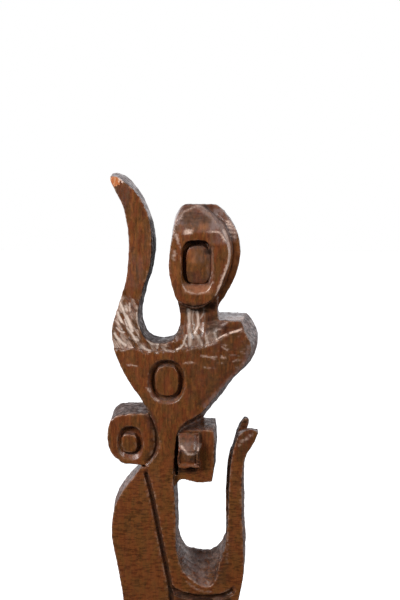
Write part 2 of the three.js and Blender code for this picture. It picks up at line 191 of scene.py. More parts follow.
@dataclass(frozen=True)
class GougeCuts:
    """A field of overlapping gouge cuts, each a shallow scoop with a ridge to its neighbours.

    Sizes are in millimetres. The cuts lie in the plane of the board, along a heading measured from the
    vertical and leaning to the right at the lower end when positive. With a reach, they also end in depth.
    """

    width: float
    length: float
    depth: float
    heading_deg: float = 0.0
    reach: float | None = None
    unevenness: float = 0.35
    tilt: float = 0.0
    seed: int = 1
    stray: float = 0.5
    stray_along: float = 0.6
    flatness: float = 0.7
    rim: float = 2.2
    far: float = 9.0

    def turned(self, points: np.ndarray) -> np.ndarray:
        """Points with the first axis laid across the cuts and the third along them.

        Args:
            points: places in millimetres, one row each.

        Returns:
            The same places on the turned axes.
        """
        x, y, z = points.T
        turn = math.radians(self.heading_deg)
        across = x * math.cos(turn) + z * math.sin(turn)
        along = z * math.cos(turn) - x * math.sin(turn)
        return np.stack([across, y, along], axis=1)

    def chance(self, cell: np.ndarray, what: Chance) -> np.ndarray:
        """A fixed random number from 0 to 1 for each cell."""
        return scatter(cell, self.seed + what)

    def level(self, places: np.ndarray, cell: np.ndarray) -> np.ndarray:
        """Height of one cut's scoop, which strays from its cell, tips and lies deeper by chance.

        Args:
            places: the points, counted in cells.
            cell: the cut's cell, for each point.

        Returns:
            One height for each point, lowest in the cut's middle.
        """
        column = cell * np.array([1, 1, 0])
        middle_x = cell[:, 0] + 0.5 + self.stray * (self.chance(cell, Chance.ASIDE) - 0.5)
        middle_z = cell[:, 2] + self.chance(column, Chance.COLUMN)
        middle_z = middle_z + self.stray_along * (self.chance(cell, Chance.ALONG) - 0.5)
        off_x = 2.0 * (places[:, 0] - middle_x)
        off_z = 2.0 * (places[:, 2] - middle_z)
        level = off_x**2 + self.flatness * off_z**2
        for tipped, off in ((Chance.TIPPED_ASIDE, off_x), (Chance.TIPPED_ALONG, off_z)):
            level += self.tilt * (2.0 * self.chance(cell, tipped) - 1.0) * off
        if self.reach is not None:
            middle_y = cell[:, 1] + 0.5 + self.stray * (self.chance(cell, Chance.INWARD) - 0.5)
            level += self.flatness * (2.0 * (places[:, 1] - middle_y)) ** 2
        return level + self.unevenness * self.chance(cell, Chance.RAISED)

    def cut(self, points: np.ndarray) -> CutMarks:
        """Cut the field.

        Args:
            points: places in millimetres, one row each.

        Returns:
            The marks at each point.
        """
        turned = self.turned(points)
        places = turned / np.array([self.width, self.reach or 1.0, self.length])
        cells = np.floor(places).astype(np.int64)
        near_depths = (-1, 0, 1)
        if self.reach is None:
            cells[:, 1] = 0
            near_depths = (0,)
        best = np.full(len(points), self.far)
        second = best.copy()
        number = np.zeros(len(points))
        for step in itertools.product((-1, 0, 1), near_depths, (-2, -1, 0, 1, 2)):
            cell = cells + np.array(step)
            level = self.level(places, cell)
            nearer = level < best
            second = np.where(nearer, best, np.minimum(second, level))
            best = np.where(nearer, level, best)
            number = np.where(nearer, self.chance(cell, Chance.NUMBER), number)
        height = self.depth * (np.minimum(best, self.rim) - 0.5 * self.rim)
        ridge = blend_step(0.55, 0.1, second - best)
        return CutMarks(height, number, ridge, turned[:, 0])


@dataclass(frozen=True)
class CarvedLine:
    """A line along the front of the figure: a cut, a scratch, or a line of painted shade, highlight or sheen.
    Sizes are in millimetres.
    """

    path: tuple[tuple[float, float], ...]
    width: float
    depth: float = 0.0
    end_width: float | None = None
    strength: float = 1.0

    @classmethod
    def table(cls, *rows: tuple) -> "tuple[CarvedLine, ...]":
        """Make several lines.

        Args:
            rows: each line's width, end width, depth and strength, and then the points of its path.

        Returns:
            The lines.
        """
        lines = []
        for width, end_width, depth, strength, *path in rows:
            lines.append(cls(tuple(path), width, depth, end_width, strength))
        return tuple(lines)

    def share(self, points: np.ndarray) -> np.ndarray:
        """How near each point is to the line.

        Args:
            points: places in millimetres.

        Returns:
            1 on the line, falling evenly to 0 at half its width.
        """
        spots = points[:, [0, 2]]
        found = np.zeros(len(points))
        end_width = self.width if self.end_width is None else self.end_width
        widths = np.linspace(self.width, end_width, len(self.path))
        for start, end, first, second in zip(self.path, self.path[1:], widths, widths[1:]):
            run = np.array(end) - np.array(start)
            near = np.clip((spots - start) @ run / (run @ run), 0.0, 1.0)
            gap = np.hypot(*(spots - start - near[:, None] * run).T)
            half = 0.5 * (first + near * (second - first))
            found = np.maximum(found, np.clip(1.0 - gap / half, 0.0, 1.0))
        return found

    def mark(self, points: np.ndarray, full: float) -> np.ndarray:
        """The line's colour at each point, at its strongest where the share is at least full."""
        return self.strength * blend_step(0.0, full, self.share(points))


@dataclass(frozen=True)
class FlatCut:
    """One flat chisel cut: past a line the surface falls away. Sizes are in millimetres."""

    start: tuple[float, float]
    heading: tuple[float, float]
    slope: float
    deepest: float
    x: tuple[float, float]
    z: tuple[float, float]
    bend: float = 0.0
    ahead_of: float = -42.0
    soft: float = 3.0

    def depth(self, points: np.ndarray) -> np.ndarray:
        """How deep the cut is at each point.

        Args:
            points: places in millimetres.

        Returns:
            Depths in millimetres, 0 before the line.
        """
        off_x, off_z = points[:, 0] - self.start[0], points[:, 2] - self.start[1]
        past = off_x * self.heading[0] + off_z * self.heading[1]
        aside = off_z * self.heading[0] - off_x * self.heading[1]
        past = past - self.bend * aside**2
        sunk = np.clip(self.slope * past, 0.0, self.deepest)
        ahead = blend_step(self.ahead_of + 6.0, self.ahead_of, points[:, 1])
        return sunk * ahead * zone(points, self.x, self.z, self.soft)


@dataclass(frozen=True)
class Tone:
    """A patch of the surface with its own tone. Sizes are in millimetres."""

    x: tuple[float, float]
    z: tuple[float, float]
    amount: float
    soft: float = 5.0
    y: tuple[float, float] = (-100.0, 100.0)
    fade: float = 4.0

    def share(self, points: np.ndarray) -> np.ndarray:
        """How strongly each point has the tone.

        Args:
            points: places in millimetres.

        Returns:
            One share for each point.
        """
        front, back = self.y
        depth = points[:, 1]
        within = blend_step(front - self.fade, front, depth) * blend_step(back + self.fade, back, depth)
        return self.amount * within * zone(points, self.x, self.z, self.soft)


def most(tones: tuple[Tone, ...], points: np.ndarray) -> np.ndarray:
    """The largest share that any of the patches has at each point."""
    return np.maximum.reduce([tone.share(points) for tone in tones])


def strongest(lines: tuple[CarvedLine, ...], points: np.ndarray, full: float) -> np.ndarray:
    """The strongest colour that any of the lines has at each point."""
    return np.maximum.reduce([line.mark(points, full) for line in lines])


@dataclass
class Surface:
    """A mesh as arrays, in millimetres, while it is being carved."""

    points: np.ndarray
    links: np.ndarray
    normals: np.ndarray

    @classmethod
    def read(cls, mesh: bpy.types.Mesh) -> "Surface":
        """Read a mesh.

        Args:
            mesh: the mesh, in metres.

        Returns:
            Its points, edges and normals.
        """
        points = np.zeros(len(mesh.vertices) * 3)
        mesh.vertices.foreach_get("co", points)
        links = np.zeros(len(mesh.edges) * 2, np.int64)
        mesh.edges.foreach_get("vertices", links)
        surface = cls(points.reshape(-1, 3) / MM, links.reshape(-1, 2), np.zeros((0, 3)))
        surface.read_normals(mesh)
        return surface

    def read_normals(self, mesh: bpy.types.Mesh) -> None:
        """Take the normals from a mesh that holds these points.

        Args:
            mesh: the mesh.
        """
        normals = np.zeros(len(mesh.vertices) * 3)
        mesh.vertex_normals.foreach_get("vector", normals)
        self.normals = normals.reshape(-1, 3)

    def write(self, mesh: bpy.types.Mesh) -> None:
        """Put the points back into their mesh and renew the normals.

        Args:
            mesh: the mesh that was read.
        """
        mesh.vertices.foreach_set("co", (self.points * MM).ravel())
        mesh.update()
        self.read_normals(mesh)

    def spread(self, values: np.ndarray, rounds: int) -> np.ndarray:
        """Even out values over neighbouring points, half of the way to their mean in each round.

        Args:
            values: one number, or one row, for each point.
            rounds: how many times to do it.

        Returns:
            The evened values.
        """
        rows = values.reshape(len(values), -1).copy()
        first, second = self.links.T
        count = np.bincount(self.links.ravel(), minlength=len(rows)).clip(1)
        for _ in range(rounds):
            for column in range(rows.shape[1]):
                lane = rows[:, column]
                total = np.bincount(first, lane[second], len(lane))
                total += np.bincount(second, lane[first], len(lane))
                rows[:, column] = lane + 0.5 * (total / count - lane)
        return rows.reshape(values.shape)

    def standing_out(self, rough: np.ndarray, normals: np.ndarray) -> np.ndarray:
        """How far each point stands out of a rougher form, along the normals, in millimetres."""
        return np.einsum("ij,ij->i", self.points - rough, normals)

    def facing(self, way: Facing) -> np.ndarray:
        """How far each point looks a given way, from 0 to 1.

        Args:
            way: the way to look.

        Returns:
            One number for each point.
        """
        towards_back = self.normals[:, 1]
        if way is Facing.FRONT:
            return blend_step(0.55, 0.85, -towards_back)
        if way is Facing.BACK:
            return blend_step(0.55, 0.85, towards_back)
        return 1.0 - blend_step(0.5, 0.8, np.abs(towards_back))


@dataclass(frozen=True)
class RingShade:
    """The side of a ringed hollow where the painted shade, with some pooled stain, is heaviest. Sizes are in
    millimetres.
    """

    centre: tuple[float, float]
    half_size: tuple[float, float]
    heading: tuple[float, float]

    def lightening(self, points: np.ndarray) -> np.ndarray:
        """How much of the painted shade is missing at each point of this hollow.

        Args:
            points: places in millimetres.

        Returns:
            0 for full dark or outside the hollow, up to 1.
        """
        off_x = (points[:, 0] - self.centre[0]) / self.half_size[0]
        off_z = (points[:, 2] - self.centre[1]) / self.half_size[1]
        inside = blend_step(1.25, 1.1, np.maximum(np.abs(off_x), np.abs(off_z)))
        aligned = off_x * self.heading[0] + off_z * self.heading[1]
        return inside * blend_step(0.5, -0.6, aligned)


@dataclass
class CarvedFigure:
    """The whole figure: the solid's form with the carver's tool marks cut into its surface.

    Places are in millimetres on the front: x to the right, z up from the ground. A row of a table of lines
    holds a width, the width at the end, a depth and a strength, and then the points of the line's path.
    """

    node: str = "figure"
    voxel: float = 1.5
    quick_voxel: float = 2.6
    most_triangles: int = 192_000
    rounding_rounds: int = 2
    fine_rounds: int = 8
    rough_rounds: int = 40
    stroke_reach: float = 7.0
    run_in_depth: float = 1.8
    collar_x: tuple[float, ...] = (-150, -132, -94, -71, -43, -24, -3, 23, 41, 72, 93, 118, 163)
    collar_z: tuple[float, ...] = (936, 932, 932, 927, 928, 926, 932, 935, 939, 951, 964, 972, 986)
    collar_top_z: float = 1036.0
    arm_cuts: GougeCuts = GougeCuts(8, 24, 1.2, heading_deg=33, unevenness=0.5, tilt=1.1, seed=11)
    neck_cuts: GougeCuts = GougeCuts(10, 50, 0.9, heading_deg=-2, unevenness=0.5, tilt=0.8, seed=21)
    yoke_cuts: GougeCuts = GougeCuts(13, 28, 0.4, heading_deg=-32, unevenness=0.5, tilt=0.8, seed=31)
    saddle_cuts: GougeCuts = GougeCuts(
        17, 17, 1.3, heading_deg=35, reach=20, unevenness=0.5, tilt=0.7, seed=41
    )
    side_cuts: GougeCuts = GougeCuts(14, 15, 0.65, reach=30, tilt=0.5, seed=51)
    back_cuts: GougeCuts = GougeCuts(24, 80, 0.8, heading_deg=6, seed=61)
    base_cuts: GougeCuts = GougeCuts(26, 30, 0.6, heading_deg=80, reach=40, seed=71)
    face_cuts: GougeCuts = GougeCuts(13, 7, 0.16, heading_deg=4, seed=81)
    stroke_ends: GougeCuts = GougeCuts(11, 400, 1.0, heading_deg=18, seed=91)
    trunk_groove: CarvedLine = CarvedLine(
        (
            (-74, 666), (-66, 632), (-54, 570), (-45, 521), (-35, 471), (-28, 433), (-24, 396),
            (-20, 340), (-14, 270), (-11, 200), (-12, 130), (-15, 80),
        ),
        width=12.0, depth=3.5, end_width=15.0, strength=0.85,
    )
    disc_groove: CarvedLine = CarvedLine(
        ((-79, 812), (-67, 797), (-58, 778), (-53, 755), (-53, 730), (-58, 711), (-64, 702)),
        width=19.0, depth=1.8, end_width=8.0, strength=0.6,
    )
    hook_groove: CarvedLine = CarvedLine(
        ((-32, 430), (-18, 417), (2, 408), (28, 404), (58, 403), (86, 408), (101, 416)),
        width=16.0, depth=2.0, strength=0.45,
    )
    mask_groove: CarvedLine = CarvedLine(
        (
            (45, 1223), (68, 1201), (84, 1187), (94, 1171), (100, 1154),
            (103, 1130), (99, 1098), (88, 1066), (70, 1034),
        ),
        width=5.0, depth=1.5, end_width=2.0, strength=0.8,
    )
    # bands of painted sheen on the torso's right edge and the mask's upper right edge
    sheen_lines: tuple[CarvedLine, ...] = CarvedLine.table(
        (10, 10, 0, 0.7, (135, 938), (131, 911), (113, 887), (92, 865), (68, 838), (46, 814)),
        (18, 9, 0, 1, (38, 1222), (60, 1201), (84, 1181), (94, 1161), (100, 1129)),
    )
    # gouge strokes: cut into the surface, each with a painted highlight
    strokes: tuple[CarvedLine, ...] = CarvedLine.table(
        # round the arm's root
        (6.5, 6.5, 0.8, 0.9, (-125, 1026), (-119, 1010), (-114, 994)),
        (4, 4, 0.5, 0.7, (-116, 1020), (-111, 1010)),
        (4.5, 4.5, 0.5, 0.6, (-106, 1026), (-106, 1010)),
        (10, 10, 1.2, 1, (-113, 998), (-108, 985), (-102, 969)),
        (4, 4, 0.5, 0.8, (-117, 992), (-112, 979)),
        (6.5, 6.5, 0.9, 0.9, (-112, 975), (-103, 963), (-97, 952), (-90, 949)),
        (6.5, 6.5, 0.8, 0.8, (-131, 1006), (-127, 996), (-123, 987)),
        (4.5, 4.5, 0.5, 0.5, (-136, 990), (-129, 983), (-123, 972)),
        (4.5, 4.5, 0.5, 0.8, (-134, 975), (-127, 968), (-119, 965)),
        (8, 8, 0.9, 0.9, (-138, 963), (-133, 954), (-125, 946), (-116, 939)),
        (4.5, 4.5, 0.9, 0.9, (-92, 1006), (-91, 994), (-88, 979), (-80, 963), (-71, 950), (-62, 941)),
        # along the collar's edge
        (7, 7, 0.6, 0.7, (-82, 937), (-73, 930), (-66, 927)),
        (7, 7, 0.6, 0.5, (-63, 944), (-50, 942), (-51, 934)),
        (5, 5, 0.5, 0.35, (-42, 936), (-34, 929), (-18, 927)),
        (4, 4, 0.4, 0.9, (-12, 931), (-2, 935), (0, 938)),
        (6, 6, 0.6, 0.6, (2, 948), (8, 938)),
        # down the neck
        (8, 8, 1, 0.55, (11, 1012), (13, 996), (14, 983)),
        (5, 5, 0.7, 0.4, (22, 1010), (20, 996), (21, 981)),
        (8, 5, 1, 0.6, (29, 1008), (32, 994), (33, 979), (26, 969), (24, 963)),
        (11, 11, 0.8, 0.35, (13, 981), (14, 965)),
        (9, 9, 0.9, 0.6, (15, 962), (15, 941)),
        (5, 5, 0.6, 0.6, (8, 960), (5, 950), (1, 939), (-3, 938)),
        (4, 4, 0.6, 0.4, (43, 1014), (43, 1004), (37, 993)),
        (3, 3, 0.3, 0.5, (35, 973), (44, 965)),
        # on the shoulder
        (9, 9, 0.9, 0.45, (32, 958), (39, 942)),
        (9, 9, 0.8, 0.5, (48, 958), (52, 943)),
        (6, 6, 0.7, 0.6, (65, 966), (70, 951)),
    )
    # painted highlights on edges and facets, and some real scratches, in the colour of bare wood
    highlight_and_scratch_lines: tuple[CarvedLine, ...] = CarvedLine.table(
        # the mask's rim and brow: painted highlights
        (8, 6, 0, 1, (84, 1172), (90, 1157), (95, 1139), (96, 1123), (94, 1108)),
        (6, 4, 0, 1, (94, 1108), (90, 1095), (84, 1082), (79, 1069), (74, 1054), (68, 1042)),
        (3, 3, 0, 1, (50, 1169), (64, 1170), (74, 1169), (82, 1160), (88, 1151)),
        (3.5, 3.5, 0, 0.5, (-19, 1185), (-10, 1193), (-3, 1197), (4, 1210), (15, 1215), (30, 1222)),
        (3, 3, 0, 0.45, (-16, 1189), (-12, 1206)),
        # stripes of painted highlight on the head block
        (3.5, 3.5, 0, 1, (88, 1191), (98, 1187)),
        (4.5, 4.5, 0, 1, (90, 1185), (103, 1181)),
        (5, 5, 0, 1, (93, 1178), (106, 1174)),
        (4.5, 4.5, 0, 1, (95, 1169), (108, 1166)),
        (3.5, 3.5, 0, 0.8, (98, 1160), (109, 1157)),
        # painted highlights round the head's hollow and on the forehead
        (3, 3, 0, 0.45, (1, 1064), (8, 1051), (29, 1044), (51, 1050), (62, 1069)),
        (15, 15, 0, 0.16, (30, 1222), (60, 1200), (82, 1179)),
        (8, 2, 0, 0.8, (-12, 1164), (-7, 1150), (-2, 1137)),
        (4, 4, 0, 0.12, (61, 1078), (62, 1110), (61, 1140)),
        # scratches on the torso
        (5, 5, 0, 0.7, (-70, 850), (-66, 843)),
        (4, 4, 0, 0.8, (-56, 829), (-50, 824)),
        (3.5, 3.5, 0, 0.9, (74, 954), (83, 960), (90, 962)),
        (4, 4, 0, 1, (97, 966), (109, 969), (120, 973)),
        (3, 3, 0, 0.8, (39, 919), (55, 917), (69, 916)),
        (4, 4, 0, 0.7, (83, 914), (87, 916)),
        (3.5, 3.5, 0, 0.5, (109, 911), (117, 910)),
        (2.5, 2.5, 0, 0.7, (80, 941), (85, 936)),
        (3, 3, 0, 0.7, (86, 934), (92, 931)),
        (2.5, 2.5, 0, 0.5, (88, 942), (90, 938)),
        (3, 3, 0, 0.8, (80, 918), (84, 915)),
        (3, 3, 0, 0.7, (-112, 899), (-92, 897)),
        (2.5, 2.5, 0, 0.7, (4, 903), (24, 905)),
        (2.5, 2.5, 0, 0.7, (44, 896), (56, 893)),
        # painted highlights on the prong, the knob and the saddle
        (3.5, 3.5, 0, 0.9, (129, 744), (143, 757)),
        (3.5, 3.5, 0, 0.6, (116, 732), (123, 744)),
        (5, 5, 0, 0.9, (-2, 733), (7, 723), (12, 716), (26, 717), (32, 722), (37, 731)),
        (2, 2, 0, 0.3, (94, 545), (94, 480)),
        (3, 3, 0, 0.35, (8, 438), (26, 424), (44, 416), (60, 417)),
    )
    facets: tuple[FlatCut, ...] = (
        FlatCut((26, 1021), (0, -1), 1.5, 13, (-26, 78), (1000, 1048), bend=-0.0104),
        FlatCut((9, 722), (-0.9, -0.45), 0.45, 6, (-6, 44), (694, 722), ahead_of=-46, soft=9),
        FlatCut((25, 722), (0.9, -0.45), 0.45, 6, (-6, 44), (694, 722), ahead_of=-46, soft=9),
        FlatCut((24, 722), (1, 0), 0.6, 9, (10, 46), (684, 750), soft=6),
    )
    shallow_area: Tone = Tone((54, 66), (1062, 1142), 0.85, 3, (-39, -20))
    # rings whose painted hollow shade is heaviest on one side and lighter on the other
    hollows: tuple[RingShade, ...] = (
        RingShade((30, 1104), (34, 56), (-0.5, 0.85)),
        RingShade((-31, 865), (42, 50), (0.8, -0.35)),
        RingShade((-108, 732), (30, 38), (0.9, -0.35)),
    )
    # areas where the painted hollow shade is taken out
    unshaded_areas: tuple[Tone, ...] = (
        Tone((88, 130), (1040, 1215), 0.9),
        Tone((56, 130), (1010, 1112), 0.9),
        Tone((36, 62), (690, 762), 0.8),
        Tone((-40, 10), (1175, 1245), 1),
        Tone((-90, -40), (680, 820), 0.6),
        Tone((-90, -66), (676, 698), 0.9, 4),
        Tone((-30, 100), (396, 412), 0.7),
        Tone((-2, 8), (1085, 1130), 0.4, 4),
    )
    # pale grey patches, mostly a painted reflection on the forehead and the head's facets
    tones: tuple[Tone, ...] = (
        Tone((-30, 84), (1171, 1240), 0.2),
        Tone((-30, 0), (1186, 1240), 1, 4),
        Tone((60, 96), (1150, 1212), 0.8, 8, (-46, 0)),
        Tone((88, 108), (1150, 1196), 0.95, 4),
        Tone((51, 58), (1066, 1134), 0.25, 3),
        Tone((4, 58), (1046, 1062), 0.2, 3),
        Tone((24, 40), (1112, 1140), 0.25, 9),
        Tone((-4, 34), (722, 738), 0.45, 3),
        Tone((-106, -84), (1062, 1116), 0.12, 12),
    )
    # painted highlights on the brow
    highlight_spots: tuple[Tone, ...] = (
        Tone((5, 12), (1165, 1171), 0.7, 2),
        Tone((9, 19), (1167, 1173), 0.95, 2),
        Tone((-17, -14), (1114, 1132), 0.6, 1.5),
    )
    # amber painted light, mostly lifting shaded parts of the head
    painted_light_areas: tuple[Tone, ...] = (
        Tone((94, 116), (1052, 1150), 0.6, 5, (-30, 0)),
        Tone((14, 24), (1110, 1130), 0.5, 6),
        Tone((37, 49), (1177, 1190), 0.4),
        Tone((4, 58), (1046, 1060), 0.35, 3),
        Tone((-14, -6), (1070, 1106), 0.3, 6),
    )
    # how strongly the chiselled facets carry a painted highlight
    lit_areas: tuple[Tone, ...] = (
        Tone((-151, -92), (930, 1036), 1, 8),
        Tone((-94, -28), (924, 940), 0.8, 6),
        Tone((6, 44), (938, 1008), 0.8, 4),
        Tone((30, 78), (930, 966), 0.7, 6),
        Tone((-8, 88), (420, 500), 0.28, 6),
    )
    # painted shade: under the knob, the chin and the hook, on the back prong and in other shaded places
    shade_tones: tuple[Tone, ...] = (
        Tone((-10, 28), (670, 681), 0.7, 4),
        Tone((66, 136), (940, 984), 0.3, 8, (-60, -30)),
        Tone((-12, 66), (1008, 1024), 0.75, 6, (-47, 48)),
        Tone((84, 142), (530, 772), 0.7, 8, (6, 60)),
        Tone((114, 152), (702, 766), 0.35, 6),
        Tone((-12, 98), (386, 408), 0.75, 6),
        Tone((20, 130), (840, 950), 0.2, 20),
        Tone((64, 140), (900, 980), 0.3, 14, (-60, -40)),
        Tone((-8, 44), (736, 758), 0.35, 4),
        Tone((60, 96), (440, 545), 0.3, 8),
        Tone((-88, -4), (936, 980), 0.55, 6, (-40, -10)),
        Tone((50, 94), (968, 1000), 0.6, 6, (-60, -28)),
        Tone((-26, -12), (408, 420), 0.6),
        Tone((-142, -112), (1215, 1256), 0.35, 10),
        Tone((0, 56), (1190, 1222), 0.45, 10),
        Tone((12, 56), (1066, 1086), 0.35, 8),
        Tone((46, 58), (1126, 1142), 0.7, 4),
        Tone((14, 46), (1139, 1146), 0.6, 3),
    )
    # lines of painted shade along the torso's lower right edge and beside the disc
    shade_lines: tuple[CarvedLine, ...] = CarvedLine.table(
        (18, 18, 0, 0.45, (122, 918), (102, 893), (80, 869), (56, 843), (34, 817)),
        (22, 22, 0, 0.55, (-78, 800), (-67, 784), (-62, 757), (-61, 732), (-64, 714), (-72, 700)),
    )
    # painted shade on sides turned away from the lamps
    side_shade_tones: tuple[Tone, ...] = (
        Tone((-98, -52), (1050, 1190), 0.75, 12),
        Tone((-104, -60), (946, 1050), 0.6, 8),
        Tone((-84, 4), (936, 950), 0.4),
        Tone((84, 110), (530, 700), 0.7, 10),
        Tone((90, 114), (640, 780), 0.85, 6),
        Tone((-160, -50), (764, 800), 0.5, 6),
    )
    # edges kept without wear or painted highlight
    plain_edge_areas: tuple[Tone, ...] = (
        Tone((2, 60), (1058, 1146), 1, 3),
        Tone((-66, 2), (824, 900), 0.8, 4),
        Tone((-30, 104), (380, 412), 1, 4),
        Tone((-84, -4), (936, 972), 1),
        Tone((-18, 72), (1004, 1036), 1, 4),
        Tone((-94, -60), (670, 704), 1, 4),
        Tone((-24, 46), (676, 764), 0.9, 3),
    )
    # a painted sheen on faces that look up, more or less in these patches
    top_sheen_level: float = 0.4
    top_sheen_tones: tuple[Tone, ...] = (
        Tone((60, 122), (978, 1004), 0.6, 6),
        Tone((-14, 46), (738, 762), -0.4, 3, (-100, -38)),
        Tone((112, 165), (724, 770), -0.3, 4),
        Tone((44, 72), (752, 770), -0.2, 4),
        Tone((-30, 104), (380, 412), -0.3, 4),
        Tone((56, 96), (430, 560), -0.25, 12),
        Tone((0, 80), (490, 520), 0.4, 6, (30, 100), fade=20),
        Tone((-100, -4), (930, 1000), -0.3, 6, (-100, -14), fade=24),
    )
    collar_front: Tone = Tone((50, 125), (940, 1000), 1, 5, (-100, -34), fade=6)
    made: bpy.types.Object | None = field(default=None, init=False)

    def collar_line(self, x: np.ndarray) -> np.ndarray:
        """Height of the edge between the chiselled collar and the flat torso."""
        return np.interp(x, self.collar_x, self.collar_z)

    def remeshed(self) -> bpy.types.Mesh:
        """An even mesh over the solid, fine enough to carve.

        Returns:
            A new mesh, in metres.
        """
        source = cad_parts[self.node]
        rough = placed("rough_figure", source.data.copy())
        rough.data.materials.clear()
        shell = rough.modifiers.new("even", "REMESH")
        shell.mode = "VOXEL"
        shell.voxel_size = self.voxel * MM
        mesh = applied(rough)
        bpy.data.objects.remove(rough)
        return mesh

    def collar(self, surface: Surface) -> dict[str, np.ndarray]:
        """Shares of the chiselled collar: round the arm's root, down the neck, along the shoulder.

        Args:
            surface: the rounded form.

        Returns:
            One share for each part, by name, and how far the strokes run in past the collar's edge.
        """
        points = surface.points
        above = points[:, 2] - self.collar_line(points[:, 0])
        reach = self.stroke_reach * self.stroke_ends.cut(points).number
        chiselled = blend_step(-reach - 1.0, -reach + 1.0, above)
        chiselled = chiselled * blend_step(0.35, 0.7, -surface.normals[:, 1])
        ragged = self.collar_top_z + 16.0 * soft_noise(points, (9, 9, 30), 12)
        arm = chiselled * blend_step(ragged + 5, ragged - 5, points[:, 2]) * blend_step(-8, -14, points[:, 0])
        neck = chiselled * zone(points, (6, 44), (920, 1012), 4) * (1 - arm)
        yoke = chiselled * zone(points, (36, 118), (920, 1004), 5) * (1 - arm) * (1 - neck)
        run_in = np.clip((above + reach) / self.stroke_reach, 0.0, 1.0) * blend_step(2.0, -0.5, above)
        return {"arm": arm, "neck": neck, "yoke": yoke, "run_in": run_in * chiselled}

    def gouged(self, surface: Surface) -> tuple[CutMarks, np.ndarray]:
        """Tool marks over the whole surface.

        Args:
            surface: the rounded form.

        Returns:
            The marks, and how strongly each chiselled point carries a painted highlight.
        """
        points = surface.points
        collar = self.collar(surface)
        saddle = zone(points, (-10, 90), (418, 505), 8) * blend_step(0.0, 0.4, surface.normals[:, 2])
        on_base = blend_step(54, 50, points[:, 2])
        side = surface.facing(Facing.SIDE) * (1 - saddle) * (1 - on_base)
        back = surface.facing(Facing.BACK) * (1 - on_base)
        chiselled = np.clip(collar["arm"] + collar["neck"] + collar["yoke"] + saddle, 0, 1)
        face = surface.facing(Facing.FRONT) * (1 - chiselled) * (1 - on_base)
        marks = CutMarks.none(len(points))
        marks.height -= self.run_in_depth * collar["run_in"]
        cut_areas = (
            (collar["arm"], self.arm_cuts),
            (collar["neck"], self.neck_cuts),
            (collar["yoke"], self.yoke_cuts),
            (saddle, self.saddle_cuts),
            (side, self.side_cuts),
            (back, self.back_cuts),
            (on_base, self.base_cuts),
            (face, self.face_cuts),
        )
        for weight, cuts in cut_areas:
            chosen = weight > 0.01
            marks.lay(cuts.cut(points[chosen]), chosen, weight)
        return marks, chiselled * most(self.lit_areas, points)

    def waviness(self, surface: Surface) -> np.ndarray:
        """Slow unevenness of hand-cut faces.

        Args:
            surface: the rounded form.

        Returns:
            One height for each point, in millimetres.
        """
        broad = soft_noise(surface.points, (46, 46, 70), 3)
        fine = soft_noise(surface.points, (15, 15, 24), 4)
        return 0.5 * broad + 0.2 * fine

    def scored(
        self, surface: Surface, lines: tuple[CarvedLine, ...], low: float, high: float
    ) -> tuple[np.ndarray, np.ndarray]:
        """Lines cut into what looks forward.

        Args:
            surface: the rounded form.
            lines: the lines.
            low: the share of a line where its colour starts.
            high: the share where it is full.

        Returns:
            How deep the lines are, and how strong their colour is, at each point.
        """
        frontward = blend_step(0.3, 0.6, -surface.normals[:, 1])
        depth = np.zeros(len(surface.points))
        colour = np.zeros(len(surface.points))
        for line in lines:
            share = line.share(surface.points) * frontward
            depth = np.maximum(depth, line.depth * share)
            colour = np.maximum(colour, line.strength * blend_step(low, high, share))
        return depth, colour

    def carve(self, mesh: bpy.types.Mesh) -> None:
        """Round the edges, cut the tool marks and note where the wood is worn and chiselled and where shade
        and highlights are painted.

        Args:
            mesh: the even mesh, changed in place.
        """
        surface = Surface.read(mesh)
        surface.points = surface.spread(surface.points, self.rounding_rounds)
        surface.write(mesh)
        rough = surface.spread(surface.points, self.rough_rounds)
        sunk = surface.standing_out(rough, surface.spread(surface.normals, self.fine_rounds))
        marks, chiselled = self.gouged(surface)
        # the grooves' colour is painted shade in them
        grooves = (self.trunk_groove, self.disc_groove, self.hook_groove, self.mask_groove)
        groove_depth, groove_shade = self.scored(surface, grooves, 0.15, 0.8)
        stroke_depth, stroke_highlight_share = self.scored(surface, self.strokes, 0.1, 0.6)
        self.displace(surface, marks.height - np.maximum(groove_depth, stroke_depth), sunk)
        surface.write(mesh)
        notes = {
            # worn edges, partly a painted highlight along rounded edges
            "edge": self.worn_edge_highlight(surface),
            # painted highlights and scratches
            "highlights_and_scratches": self.highlights_and_scratches(surface),
            "stroke_highlight": stroke_highlight_share,
            "side": self.streaked(surface),
            "ridge": marks.ridge,
            "across": marks.across,
            # painted shade in hollows and grooves, with some pooled stain
            "hollow": np.maximum(self.hollow_shade(surface, sunk), groove_shade),
            # painted highlight on the chisel facets
            "chiselled": chiselled,
            "facet": marks.number,
            # pale varnish and painted sheen
            "tone": self.pale_and_sheen(surface),
            # amber painted light
            "painted_light_amber": most(self.painted_light_areas, surface.points) * self.near_front(surface),
            # painted shade under parts and in gaps
            "shade": self.painted_shade(surface),
        }
        for name, values in notes.items():
            layer = mesh.attributes.new(name, "FLOAT", "POINT")
            layer.data.foreach_set("value", values.astype(np.float32))

